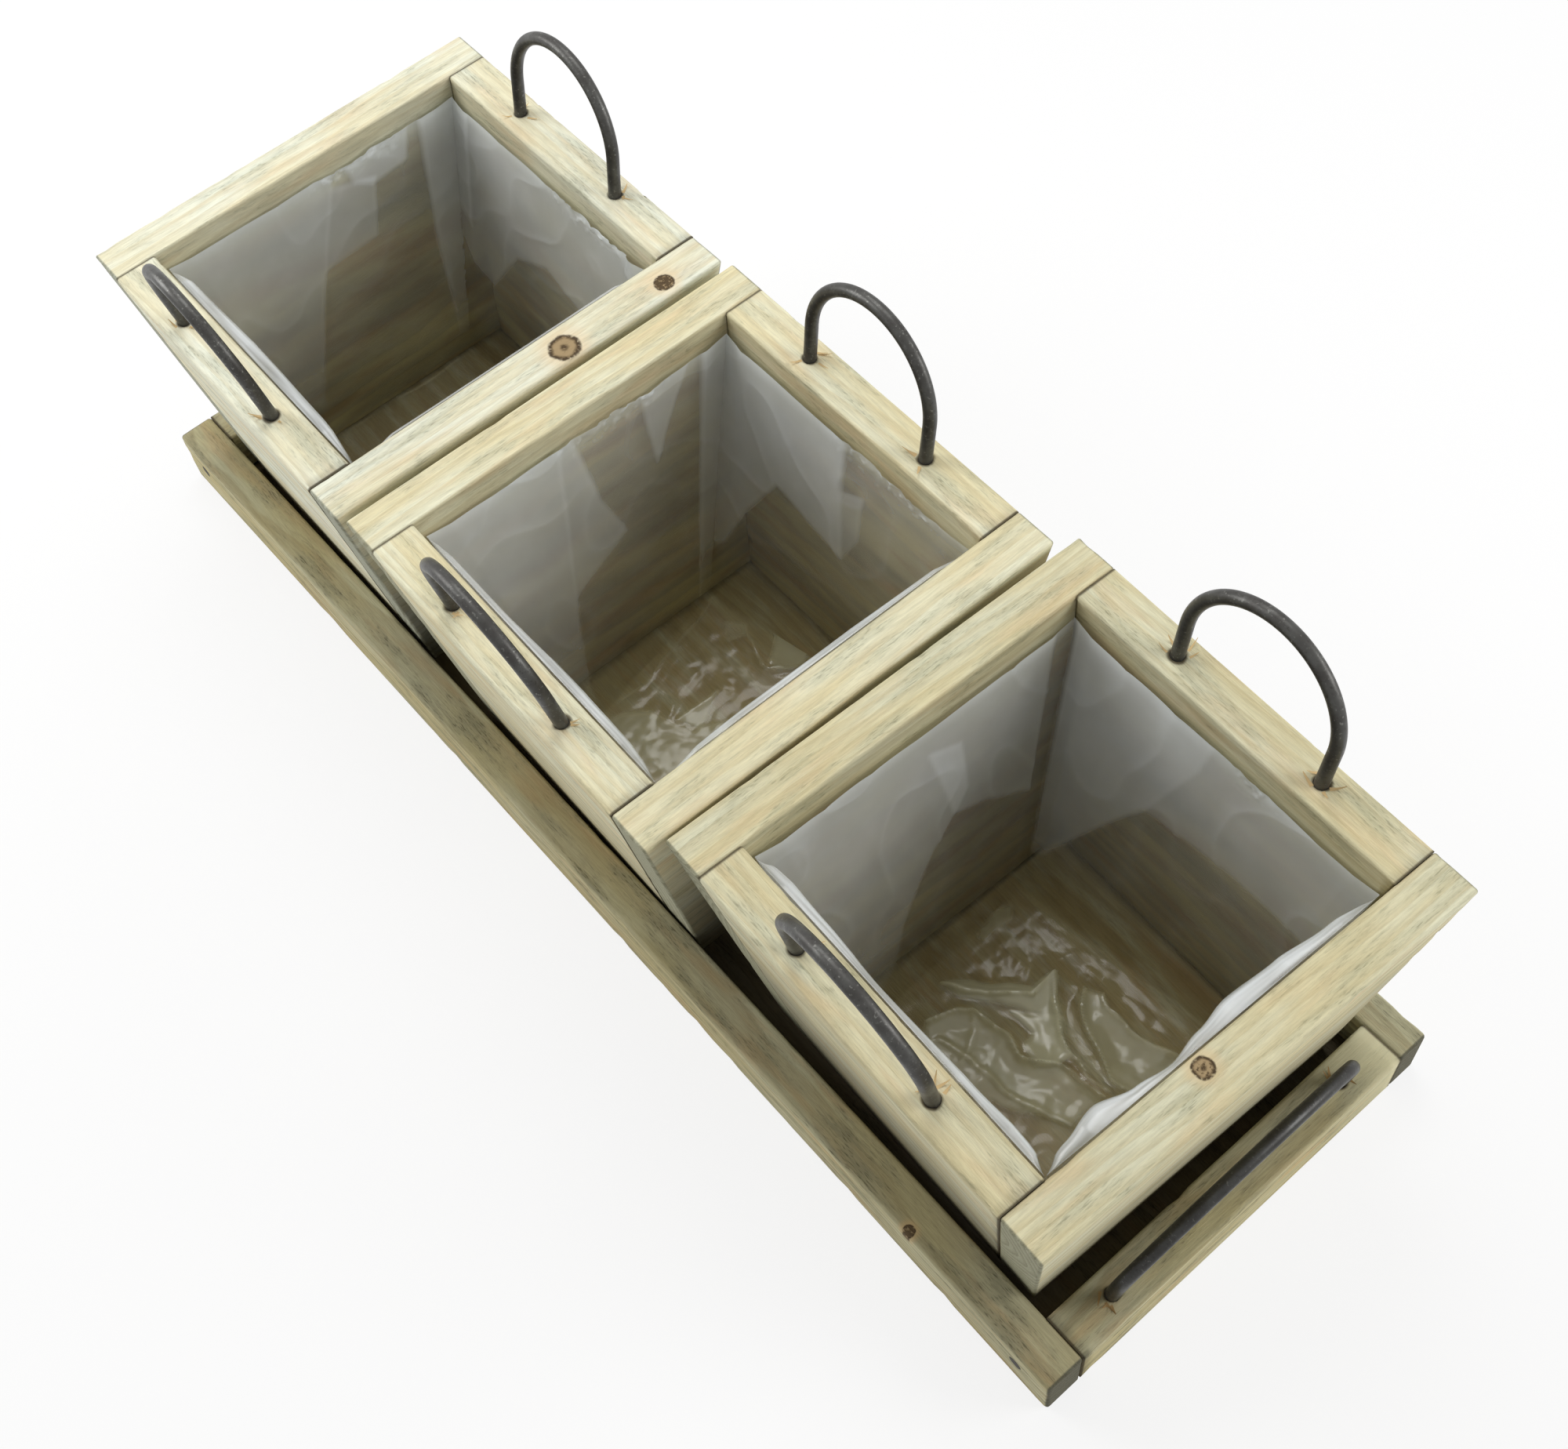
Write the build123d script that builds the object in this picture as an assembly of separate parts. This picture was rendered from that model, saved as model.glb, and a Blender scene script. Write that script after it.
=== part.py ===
from build123d import *
import os
from math import atan2, cos, degrees, radians, sin

# Indoor herb planter. Three square tapered boxes of pale boards stand loose, in a row, in a
# low tray. Each box has a wire bow handle in its front board and one in its back board, and
# holds a loose film liner. A wider wire bow stands in each end board of the tray.
# Millimetres. X runs along the tray, Y from its front to its back, Z up. The origin is the
# middle of the tray's underside.

# Box: length along X and width along Y at the rim, boards measured level
BOX_LENGTH = 139.0
BOX_WIDTH = 140.0
BOX_HEIGHT = 106.0
BOX_BOARD = 14.0
BOX_BASE = 8.0
BOX_TAPER = 0.14  # how far each wall leans in for each millimetre of depth
BOARD_ARRIS = 0.9

# How the three boxes stand: gap between neighbouring rims, turn about Z in degrees, and how
# far each one is pushed towards the back
RIM_GAPS = (2.3, 0.6)
BOX_TURNS = (-0.7, -0.93, -1.85)
BOX_SHIFTS = (0.43, 0.0, 2.55)

# Tray: heights, board thicknesses, and the play between its top edge and the nearest box
TRAY_HEIGHT = 22.0
TRAY_BASE = 5.0
TRAY_END = 14.0
TRAY_FRONT = 12.5
TRAY_BACK = 10.5
TRAY_ARRIS = 1.3
PLAY_LEFT = 1.5
PLAY_RIGHT = 2.6
PLAY_FRONT = 0.3
PLAY_BACK = 0.4

# Wire handles: span between leg centres, straight leg above the board, bow above the legs
WIRE = 4.0
WIRE_FIT = 0.05  # room round a leg in its hole
BOX_HANDLE_SPAN = 50.0
BOX_HANDLE_LEG = 13.0
BOX_HANDLE_BOW = 25.0
BOX_HANDLE_SEAT = 20.0
TRAY_HANDLE_SPAN = 87.0
TRAY_HANDLE_LEG = 10.0
TRAY_HANDLE_BOW = 26.0
TRAY_HANDLE_SEAT = 14.0
TRAY_HANDLE_LEAN = 0.13  # outward run for each millimetre of height
BOW_SHOULDER = 0.7  # shoulder radius of a bow as a share of its rise

# Film liner: drop of its edge below the rim, room to the boards, thickness, corner radius
LINER_DROP = 7.0
LINER_ROOM = 0.4
LINER_FILM = 0.8
LINER_CORNER = 9.0

# Nails through the tray's long boards into the ends of its end boards
NAIL = 1.8
NAIL_LENGTH = 24.0
NAIL_HEAD = 4.2
NAIL_HEAD_THICKNESS = 0.8
NAIL_HEIGHT = 13.0
NAIL_FIT = 0.05
NAIL_ROOM = 0.6  # wood left between a nail and the leg of a tray handle

SIDES = {"front": -1, "back": 1}


def box_size(rim_size, z):
    """Size of a box outline at height z above the box's underside, from its size at the rim."""
    return rim_size - 2 * BOX_TAPER * (BOX_HEIGHT - z)


def box_reach(turn, z):
    """Half extents along X and Y of a turned box at height z."""
    half_length = box_size(BOX_LENGTH, z) / 2
    half_width = box_size(BOX_WIDTH, z) / 2
    c = cos(radians(turn))
    s = abs(sin(radians(turn)))
    return half_length * c + half_width * s, half_width * c + half_length * s


def pitch(first, second, gap):
    """Distance between two neighbouring boxes that leaves the gap between their rims."""
    turn = radians(BOX_TURNS[second] - BOX_TURNS[first])
    return BOX_LENGTH + gap + BOX_WIDTH / 2 * abs(sin(turn))


# Places of the boxes, with the tray sized round them at its top edge and centred on the origin
box_x = [-pitch(0, 1, RIM_GAPS[0]), 0.0, pitch(1, 2, RIM_GAPS[1])]
box_y = list(BOX_SHIFTS)
reaches = [box_reach(turn, TRAY_HEIGHT - TRAY_BASE) for turn in BOX_TURNS]
inner_left = box_x[0] - reaches[0][0] - PLAY_LEFT
inner_right = box_x[2] + reaches[2][0] + PLAY_RIGHT
inner_front = min(y - reach[1] for y, reach in zip(box_y, reaches)) - PLAY_FRONT
inner_back = max(y + reach[1] for y, reach in zip(box_y, reaches)) + PLAY_BACK
inner_length = inner_right - inner_left
inner_width = inner_back - inner_front
tray_length = inner_length + 2 * TRAY_END
tray_width = inner_width + TRAY_FRONT + TRAY_BACK
centre_x = (inner_left + inner_right) / 2
centre_y = (inner_front - TRAY_FRONT + inner_back + TRAY_BACK) / 2
floor_y = (inner_front + inner_back) / 2 - centre_y


def tapered_block(length, width, low, high):
    """Block with the boxes' taper between two heights, from its sizes at the rim."""
    outlines = [Pos(0, 0, z) * Rectangle(box_size(length, z), box_size(width, z)) for z in (low, high)]
    return loft(outlines, ruled=True)


def bow_arcs(half, leg, bow):
    """Arcs of a bow on legs half a span out: a half circle, or a flatter crown with round shoulders."""
    if bow >= half:
        return [CenterArc((0, leg + bow - half), half, 0, 180)]
    shoulder = BOW_SHOULDER * bow
    crown = ((half - shoulder) ** 2 + bow**2 - shoulder**2) / (2 * (bow - shoulder))
    turn = degrees(atan2(crown - bow, half - shoulder))
    return [
        CenterArc((half - shoulder, leg), shoulder, 0, turn),
        CenterArc((0, leg + bow - crown), crown, turn, 180 - 2 * turn),
        CenterArc((shoulder - half, leg), shoulder, 180 - turn, turn),
    ]


def handle(plane, span, leg, bow, seat):
    """Wire bow in a plane, with straight legs from the bottom of their holes."""
    half = span / 2
    arcs = bow_arcs(half, leg, bow)
    up = Line((half, -seat), arcs[0] @ 0)
    down = Line(arcs[-1] @ 1, (-half, -seat))
    wire = plane * Wire([up, *arcs, down])
    return sweep(Plane(origin=wire @ 0, z_dir=wire % 0) * Circle(WIRE / 2), path=wire)


def leg_holes(plane, span, seat):
    """Drilled holes for the two legs, from their bottoms to above the board."""
    drill = Rot(90, 0, 0) * Cylinder(WIRE / 2 + WIRE_FIT, 2 * seat)
    return [plane * (Pos(side * span / 2, 0) * drill) for side in (-1, 1)]


def box_handle_plane(side):
    """Plane of a box handle, in line with the lean of its board, with Y up the board."""
    middle = (0, side * (BOX_WIDTH - BOX_BOARD) / 2, BOX_HEIGHT)
    return Plane(origin=middle, x_dir=(1, 0, 0), z_dir=(0, -1, side * BOX_TAPER))


def tray_handle_plane(side):
    """Plane of a tray handle, leaning a little outwards, with Y up."""
    middle = (side * (inner_length + TRAY_END) / 2, floor_y, TRAY_HEIGHT)
    return Plane(origin=middle, x_dir=(0, 1, 0), z_dir=(1, 0, -side * TRAY_HANDLE_LEAN))


def box_parts():
    """The pieces of one box about its own middle, standing on Z = 0."""
    hollow_length = BOX_LENGTH - 2 * BOX_BOARD
    hollow_width = BOX_WIDTH - 2 * BOX_BOARD
    outside = tapered_block(BOX_LENGTH, BOX_WIDTH, 0, BOX_HEIGHT)
    between = tapered_block(hollow_length, 2 * BOX_WIDTH, 0, BOX_HEIGHT)
    cross = (outside - between).solids().sort_by(Axis.X)
    planks = tapered_block(2 * BOX_LENGTH, BOX_WIDTH, 0, BOX_HEIGHT)
    planks -= tapered_block(3 * BOX_LENGTH, hollow_width, 0, BOX_HEIGHT)

    pieces = {}
    for name, board in zip(("left", "right"), cross):
        pieces[f"{name}_board"] = board.fillet(BOARD_ARRIS, board.edges())
    for name, plank in zip(SIDES, planks.solids().sort_by(Axis.Y)):
        rim_edges = plank.edges().filter_by(Axis.X).group_by(Axis.Z)[-1]
        pieces[f"{name}_board"] = plank.fillet(BOARD_ARRIS, rim_edges) & between
    pieces["base"] = tapered_block(hollow_length, hollow_width, 0, BOX_BASE)
    for name, side in SIDES.items():
        plane = box_handle_plane(side)
        pieces[f"{name}_board"] -= leg_holes(plane, BOX_HANDLE_SPAN, BOX_HANDLE_SEAT)
        pieces[f"{name}_handle"] = handle(
            plane, BOX_HANDLE_SPAN, BOX_HANDLE_LEG, BOX_HANDLE_BOW, BOX_HANDLE_SEAT
        )
    pieces["liner"] = film_liner(hollow_length, hollow_width)
    return pieces


def film_liner(hollow_length, hollow_width):
    """Open bag of film that stands on the base, inside the boards."""
    top = BOX_HEIGHT - LINER_DROP

    def bag(inset, low):
        def outline(z):
            length = box_size(hollow_length - 2 * inset, z)
            width = box_size(hollow_width - 2 * inset, z)
            return Pos(0, 0, z) * RectangleRounded(length, width, LINER_CORNER - (inset - LINER_ROOM))

        return loft([outline(low), outline(top)], ruled=True)

    return bag(LINER_ROOM, BOX_BASE) - bag(LINER_ROOM + LINER_FILM, BOX_BASE + LINER_FILM)


def nail(fit=0.0):
    """Nail along +Y with its head's face at the origin."""

    def round_bar(diameter, length):
        return Pos(0, length / 2, 0) * (Rot(90, 0, 0) * Cylinder(diameter / 2 + fit, length))

    return round_bar(NAIL, NAIL_LENGTH) + round_bar(NAIL_HEAD, NAIL_HEAD_THICKNESS)


def tray_parts():
    """The pieces of the tray: two long boards, two end boards between them, floor, handles, nails."""
    half_width = tray_width / 2
    end_x = (inner_length + TRAY_END) / 2
    leg_reach = (WIRE + NAIL) / 2 + TRAY_HANDLE_LEAN * TRAY_HANDLE_SEAT
    nail_x = end_x - leg_reach - NAIL_ROOM

    def board(x, y, length, width, butted=False):
        block = Pos(x, y, TRAY_HEIGHT / 2) * Box(length, width, TRAY_HEIGHT)
        free_edges = block.edges().filter_by(Axis.Y) if butted else block.edges()
        return fillet(free_edges, TRAY_ARRIS)

    pieces = {
        "tray_front_board": board(0, TRAY_FRONT / 2 - half_width, tray_length, TRAY_FRONT),
        "tray_back_board": board(0, half_width - TRAY_BACK / 2, tray_length, TRAY_BACK),
        "tray_left_end": board(-end_x, floor_y, TRAY_END, inner_width, butted=True),
        "tray_right_end": board(end_x, floor_y, TRAY_END, inner_width, butted=True),
        "tray_base": Pos(0, floor_y, TRAY_BASE / 2) * Box(inner_length, inner_width, TRAY_BASE),
    }

    nails = []
    for end, side_x in (("left", -1), ("right", 1)):
        plane = tray_handle_plane(side_x)
        pieces[f"tray_{end}_end"] -= leg_holes(plane, TRAY_HANDLE_SPAN, TRAY_HANDLE_SEAT)
        pieces[f"tray_{end}_handle"] = handle(
            plane, TRAY_HANDLE_SPAN, TRAY_HANDLE_LEG, TRAY_HANDLE_BOW, TRAY_HANDLE_SEAT
        )
        for name, side_y in SIDES.items():
            turn = 0 if side_y < 0 else 180
            place = Pos(side_x * nail_x, side_y * half_width, NAIL_HEIGHT) * Rot(0, 0, turn)
            nails.append(place * nail())
            pieces[f"tray_{name}_board"] -= place * nail(NAIL_FIT)
            pieces[f"tray_{end}_end"] -= place * nail(NAIL_FIT)
    pieces["tray_nails"] = Compound(nails)
    return pieces


def planter():
    """Every piece of the planter by name, where it stands."""
    pieces = tray_parts()
    box = box_parts()
    for index, turn in enumerate(BOX_TURNS):
        place = Pos(box_x[index] - centre_x, box_y[index] - centre_y, TRAY_BASE) * Rot(0, 0, turn)
        for name, piece in box.items():
            pieces[f"box_{index + 1}_{name}"] = place * piece
    return pieces


os.makedirs("parts", exist_ok=True)
for name, piece in planter().items():
    export_step(piece, f"parts/{name}.step")

print(f"tray {tray_length:.1f} x {tray_width:.1f} x {TRAY_HEIGHT:.1f}")
for index, turn in enumerate(BOX_TURNS):
    print(f"box_{index + 1} at {box_x[index] - centre_x:.2f}, {box_y[index] - centre_y:.2f}, turned {turn}")
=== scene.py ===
from math import cos, exp, hypot, pi, radians, sin
from random import Random

import bmesh
import bpy
from mathutils import Matrix, Vector, noise


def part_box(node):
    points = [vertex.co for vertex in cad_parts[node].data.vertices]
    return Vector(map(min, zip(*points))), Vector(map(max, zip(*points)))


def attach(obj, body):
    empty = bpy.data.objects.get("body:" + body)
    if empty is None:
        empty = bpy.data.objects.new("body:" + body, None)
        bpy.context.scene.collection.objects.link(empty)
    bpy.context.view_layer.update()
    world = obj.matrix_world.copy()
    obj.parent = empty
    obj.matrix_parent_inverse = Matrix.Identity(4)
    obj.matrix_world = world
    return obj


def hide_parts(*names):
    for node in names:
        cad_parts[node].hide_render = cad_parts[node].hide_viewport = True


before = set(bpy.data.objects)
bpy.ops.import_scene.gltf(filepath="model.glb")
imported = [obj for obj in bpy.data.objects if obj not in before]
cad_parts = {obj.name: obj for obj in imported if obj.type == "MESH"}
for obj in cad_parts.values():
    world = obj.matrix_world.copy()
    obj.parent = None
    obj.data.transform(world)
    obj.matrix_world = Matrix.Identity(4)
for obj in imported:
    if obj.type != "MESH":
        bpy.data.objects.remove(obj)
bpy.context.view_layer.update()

# Indoor herb planter: three loose boxes of weathered boards in a low tray, with dark wire
# handles and creased film liners. Lengths are in millimetres until a mesh is made.

MM = 0.001

# Boxes: middle along X and Y, turn in degrees
BOXES = {1: (-142.27, -0.34, -0.7), 2: (-0.69, -0.77, -0.93), 3: (140.04, 1.78, -1.85)}
BOX_FOOT = 5.0
BOX_HEIGHT = 106.0
BOX_BASE = 8.0
BOARD = 14.0
TAPER = 0.14
RIM_HALF_X = 69.5
RIM_HALF_Y = 70.0
TRAY_HEIGHT = 22.0

# Handles: distance of their legs from the middle of the board
LEG_OUT = 25.0
TRAY_LEG_OUT = 43.5


def srgb(red, green, blue):
    """Linear colour of an sRGB one given in the range 0 to 255."""
    values = [c / 255 for c in (red, green, blue)]
    return tuple(c / 12.92 if c <= 0.04045 else ((c + 0.055) / 1.055) ** 2.4 for c in values) + (1.0,)


# Shading

class Link:
    """A shader value that takes part in sums and products with other values and numbers."""

    def __init__(self, paint, socket):
        self.paint = paint
        self.socket = socket

    def math(self, operation, *others):
        sockets = dict(enumerate((self, *others)))
        return self.paint.node("ShaderNodeMath", {"operation": operation}, sockets)

    def __add__(self, other):
        return self.math("ADD", other)

    def __sub__(self, other):
        return self.math("SUBTRACT", other)

    def __mul__(self, other):
        return self.math("MULTIPLY", other)

    def __truediv__(self, other):
        return self.math("DIVIDE", other)

    def abs(self):
        return self.math("ABSOLUTE")

    def most(self, other):
        return self.math("MAXIMUM", other)

    def ramp(self, low, high, start=0.0, end=1.0):
        """Smooth step from start to end while the value goes from low to high."""
        settings = {"interpolation_type": "SMOOTHSTEP"}
        return self.paint.node("ShaderNodeMapRange", settings, {0: self, 1: low, 2: high, 3: start, 4: end})


class Paint:
    """The nodes of a material or of the world."""

    def __init__(self, owner):
        owner.use_nodes = True
        self.owner = owner
        self.tree = owner.node_tree
        self.shader = self.tree.nodes.get("Principled BSDF")

    def node(self, kind, settings=None, sockets=None, output=0):
        """A node with its settings and inputs set, as the link of one output."""
        made = self.tree.nodes.new(kind)
        for key, value in (settings or {}).items():
            setattr(made, key, value)
        self.fill(made, sockets or {})
        return Link(self, made.outputs[output])

    def fill(self, node, sockets):
        for key, value in sockets.items():
            if isinstance(value, Link):
                self.tree.links.new(value.socket, node.inputs[key])
            else:
                node.inputs[key].default_value = value

    def set(self, **sockets):
        """Inputs of the shader, with spaces in their names written as underscores."""
        self.fill(self.shader, {key.replace("_", " "): value for key, value in sockets.items()})

    def show(self, surface):
        self.fill(self.tree.nodes["Material Output"], {"Surface": surface})

    def vector(self, x, y, z):
        return self.node("ShaderNodeCombineXYZ", None, {0: x, 1: y, 2: z})

    def noise(self, x, y, z, detail=2.0, roughness=0.5):
        """Fractal noise in about 0 to 1 at a point in its own units."""
        sockets = {"Vector": self.vector(x, y, z), "Scale": 1.0, "Detail": detail, "Roughness": roughness}
        return self.node("ShaderNodeTexNoise", None, sockets)

    def length(self, x, y):
        return (x * x + y * y).math("SQRT")

    def mix(self, share, first, second):
        return self.node("ShaderNodeMix", {"data_type": "RGBA"}, {0: share, 6: first, 7: second}, 2)

    def mix_shader(self, share, first, second):
        return self.node("ShaderNodeMixShader", None, {0: share, 1: first, 2: second})

    def shade(self, colour, factor):
        """A colour made darker or lighter by a factor."""
        grey = self.node("ShaderNodeCombineColor", None, {0: factor, 1: factor, 2: factor})
        settings = {"data_type": "RGBA", "blend_type": "MULTIPLY"}
        return self.node("ShaderNodeMix", settings, {0: 1.0, 6: colour, 7: grey}, 2)

    def local(self, middle, turn):
        """Coordinates in millimetres about a middle in millimetres, along axes turned about Z."""
        place = self.node("ShaderNodeTexCoord", output="Object")
        sockets = {
            "Vector": place,
            "Location": [c * MM for c in middle],
            "Rotation": (0.0, 0.0, turn),
            "Scale": (MM, MM, MM),
        }
        mapped = self.node("ShaderNodeMapping", {"vector_type": "TEXTURE"}, sockets)
        return [self.node("ShaderNodeSeparateXYZ", None, {0: mapped}, axis) for axis in range(3)]

    def bump(self, height, distance, strength):
        """Bumps of the shader's surface, as the link of the bent normal."""
        sockets = {"Height": height, "Distance": distance, "Strength": strength}
        bent = self.node("ShaderNodeBump", None, sockets)
        self.set(Normal=bent)
        return bent


# Wood

PINE = {
    "early": srgb(234, 221, 180),
    "pale": srgb(238, 232, 202),
    "warm": srgb(232, 202, 156),
    "late": srgb(212, 192, 146),
    "grey": srgb(184, 182, 152),
    "dash": srgb(126, 121, 94),
    "end": srgb(176, 172, 146),
    "inside": srgb(160, 145, 96),
    "blotch": srgb(138, 108, 60),
}
GREYED = {
    "early": srgb(198, 187, 142),
    "pale": srgb(206, 201, 166),
    "warm": srgb(200, 168, 120),
    "late": srgb(164, 147, 104),
    "grey": srgb(150, 146, 117),
    "dash": srgb(84, 78, 57),
    "end": srgb(100, 98, 82),
    "inside": srgb(60, 52, 34),
    "blotch": srgb(60, 52, 34),
}
FLOOR_WOOD = {
    **PINE,
    "early": srgb(150, 134, 90),
    "pale": srgb(158, 146, 104),
    "warm": srgb(152, 120, 74),
    "late": srgb(124, 104, 64),
}
TONE_LIMIT = 0.92
KNOT_DARK = srgb(58, 42, 24)
KNOT_FACE = srgb(164, 142, 106)
# Dark of the joints between boards, and also the painted shade in the holes of the handles
SEAM_AND_HOLE_SHADE = srgb(66, 55, 36)
SPLINTER_PALE = srgb(206, 178, 128)
SPLINTER_GREYED = srgb(150, 122, 78)

# Growth rings: their least width and the step to wider ones
RING_WIDTH = 2.7
RING_MORE = 0.5
# Stretches over which a tone or painted shade sets in: by depth below the top, also for the painted shade
# at the foot, by distance from an end or from the inner face, and by distance from the middle of a hole,
# for the painted shade in it
TOP_STRETCH = (0.3, 2.2)
LOW_STRETCH = (2.0, 80.0)
INSIDE_STRETCH = (1.0, 20.0)
KNOT_STRETCH = (2.0, 6.0)
END_STRETCH = (1.1, 0.5)
JOINT_STRETCH = (0.9, 0.2)
FACE_STRETCH = (1.0, 0.3)
HOLE_SHADE_STRETCH = (2.0, 3.0)


def tinted(tones, tint):
    """Tones with their red, green and blue scaled, and kept below white."""
    made = {}
    for name, tone in tones.items():
        made[name] = tuple(min(TONE_LIMIT, c * part) for c, part in zip(tone, (*tint, 1.0)))
    return made


class Board:
    """How one board lies: its middle at the top, the turn of its grain and the marks on it."""

    def __init__(self, middle, turn, seed, **marks):
        self.middle = middle
        self.turn = turn
        self.seed = seed
        self.end_grain = marks.get("end_grain")  # half length, where the ends show
        self.joint = marks.get("joint")  # half length, where the ends are butted
        self.lean = marks.get("lean", 0.0)  # run of the faces along the thickness, by depth
        self.inner = marks.get("inner", 0.0)  # sign of the thickness on the inside
        self.pith = marks.get("pith", (-20.0, -80.0))  # middle of the rings, across and up
        self.knots = marks.get("knots", ())  # place along and across, radius, darkness
        self.holes = marks.get("holes", ())  # places along
        self.painted_shade_half = marks.get("painted_shade_half", 0.0)  # sign of the thickness on the half with painted shade
        self.bleached = marks.get("bleached", ())  # start and end of the change to a pale end


class Grain:
    """Coordinates in a board's wood in millimetres, and the noises that its colours share."""

    def __init__(self, paint, board):
        u, v, w = paint.local(board.middle, board.turn)
        depth = w * -1.0
        v = v + depth * board.lean
        shift = board.seed * 37.0
        wander = paint.noise(u / 120.0 + shift, v / 50.0, w / 50.0) - 0.5
        ripple = paint.noise(u / 30.0, v / 6.0 + shift, w / 6.0) - 0.5
        radius = paint.length(v - board.pith[0], w - board.pith[1]) + wander * 12.0 + ripple * 1.4
        ring = (radius / (RING_WIDTH + RING_MORE * (board.seed % 3))).math("FRACT")
        self.late = ring.ramp(0.15, 0.9) * ring.ramp(0.9, 1.0, 1.0, 0.0)
        self.fibre = paint.noise(u / 9.0, v / 0.65 + shift, w / 0.65, 3.0, 0.7)
        self.zone = paint.noise(u / 60.0 + shift, v / 13.0, w / 12.0)
        self.blush = paint.noise(u / 36.0, v / 6.0 + shift, w / 6.5)
        self.cluster = paint.noise(u / 30.0 + shift, v / 6.0, w / 4.0, 3.0, 0.6)
        self.dash = paint.noise(u / 3.2, v / 0.42, w / 0.5 + shift, 2.0, 0.6)
        self.ripple = ripple
        self.along = u.abs() + depth * abs(board.lean)
        self.u, self.v, self.w = u, v, w
        self.depth = depth
        self.shift = shift


def weathered(paint, grain, tones, weather):
    """Colour of sawn faces, with grey patches and dark dashes where the weather got at them."""
    colour = paint.mix(grain.zone.ramp(0.35, 0.65), tones["early"], tones["pale"])
    colour = paint.mix(grain.blush.ramp(0.5, 0.72) * 0.5, colour, tones["warm"])
    colour = paint.mix(grain.late * 0.38, colour, tones["late"])
    colour = paint.mix(grain.cluster.ramp(0.46, 0.72) * weather, colour, tones["grey"])
    dashes = grain.cluster.ramp(0.42, 0.66) * grain.dash.ramp(0.5, 0.7) * weather
    colour = paint.mix(dashes, colour, tones["dash"])
    return paint.shade(colour, grain.fibre.ramp(0.25, 0.75, 0.85, 1.05))


def end_colour(paint, grain, tones):
    colour = paint.mix(grain.late * 0.5, tones["end"], tones["dash"])
    return paint.shade(colour, grain.dash.ramp(0.3, 0.7, 0.8, 1.08))


def inside_colour(paint, grain, tones):
    colour = paint.mix(grain.blush.ramp(0.4, 0.68) * 0.8, tones["inside"], tones["blotch"])
    colour = paint.mix(grain.late * 0.4, colour, tones["dash"])
    return paint.shade(colour, grain.zone.ramp(0.3, 0.7, 0.7, 1.2))


def knotted(paint, grain, tones, colour, knot):
    """A colour with a knot at the top of the board: a warm halo, a pale face and dark stains."""
    knot_u, knot_v, size, dark = knot
    bent = paint.noise(grain.u / 2.2 + grain.shift, grain.v / 2.2, grain.w / 2.2) - 0.5
    away = paint.length(grain.u - knot_u, grain.v - knot_v) / size + bent * 0.3
    near = grain.depth.ramp(*KNOT_STRETCH, 1.0, 0.0)
    blot = paint.noise(grain.u / 1.1, grain.v / 1.1 + grain.shift, grain.w / 1.1, 3.0, 0.6)
    colour = paint.mix(away.ramp(1.0, 2.4, 0.55, 0.0) * near, colour, tones["warm"])
    colour = paint.mix(away.ramp(0.85, 1.0, 1.0, 0.0) * near, colour, KNOT_FACE)
    edge = away.ramp(0.62, 0.92) * away.ramp(0.98, 1.18, 1.0, 0.0) * blot.ramp(0.3, 0.52, 0.3, 0.95)
    heart = away.ramp(0.1, 0.4, 0.9, 0.0) * blot.ramp(0.3, 0.5, 0.3, 1.0)
    stain = blot.ramp(0.76 - 0.44 * dark, 0.92 - 0.44 * dark) * away.ramp(0.8, 1.0, 0.85, 0.0)
    return paint.mix(edge.most(heart).most(stain) * near, colour, KNOT_DARK)


def wood(name, board, tones, weather, top_tone=1.0, low_shade=1.0):
    """Weathered sawn softwood with its grain along the board's own X."""
    paint = Paint(bpy.data.materials.new(name))
    grain = Grain(paint, board)
    colour = weathered(paint, grain, tones, weather)
    if top_tone != 1.0:
        colour = paint.shade(colour, grain.depth.ramp(*TOP_STRETCH, top_tone, 1.0))
    # Painted shade towards the foot of the board
    if low_shade != 1.0:
        colour = paint.shade(colour, grain.depth.ramp(*LOW_STRETCH, 1.0, low_shade))
    # Painted shade on one half of the board, and a little lighter on the other half
    if board.painted_shade_half:
        colour = paint.shade(colour, (grain.v * board.painted_shade_half).ramp(-1.0, 2.0, 1.08, 0.74))
    if board.bleached:
        colour = paint.mix(grain.u.ramp(*board.bleached, 0.0, 0.7), colour, tones["pale"])
    if board.end_grain:
        start, end = (board.end_grain - away for away in END_STRETCH)
        colour = paint.mix(grain.along.ramp(start, end), colour, end_colour(paint, grain, tones))
    if board.joint:
        start, end = (board.joint - away for away in JOINT_STRETCH)
        colour = paint.mix(grain.along.ramp(start, end, 0.0, 0.85), colour, SEAM_AND_HOLE_SHADE)
    if board.inner:
        start, end = (BOARD / 2 - away for away in FACE_STRETCH)
        facing = (grain.v * board.inner).ramp(start, end) * grain.depth.ramp(*INSIDE_STRETCH, 0.2, 0.95)
        colour = paint.mix(facing, colour, inside_colour(paint, grain, tones))
    for knot in board.knots:
        colour = knotted(paint, grain, tones, colour, knot)
    # Painted shade in the pit of each hole, with a dark ring round it
    for hole in board.holes:
        away = paint.length(grain.u - hole, grain.v) + grain.ripple * 2.4
        colour = paint.mix(away.ramp(*HOLE_SHADE_STRETCH, 0.9, 0.0), colour, SEAM_AND_HOLE_SHADE)
    paint.bump(grain.fibre * 0.5 + grain.late * 0.2 + grain.dash * 0.45, 0.0004, 0.6)
    paint.set(Base_Color=colour, Roughness=grain.fibre.ramp(0.2, 0.8, 0.95, 0.78), Specular_IOR_Level=0.25)
    return paint.owner


# Metal and film

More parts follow.
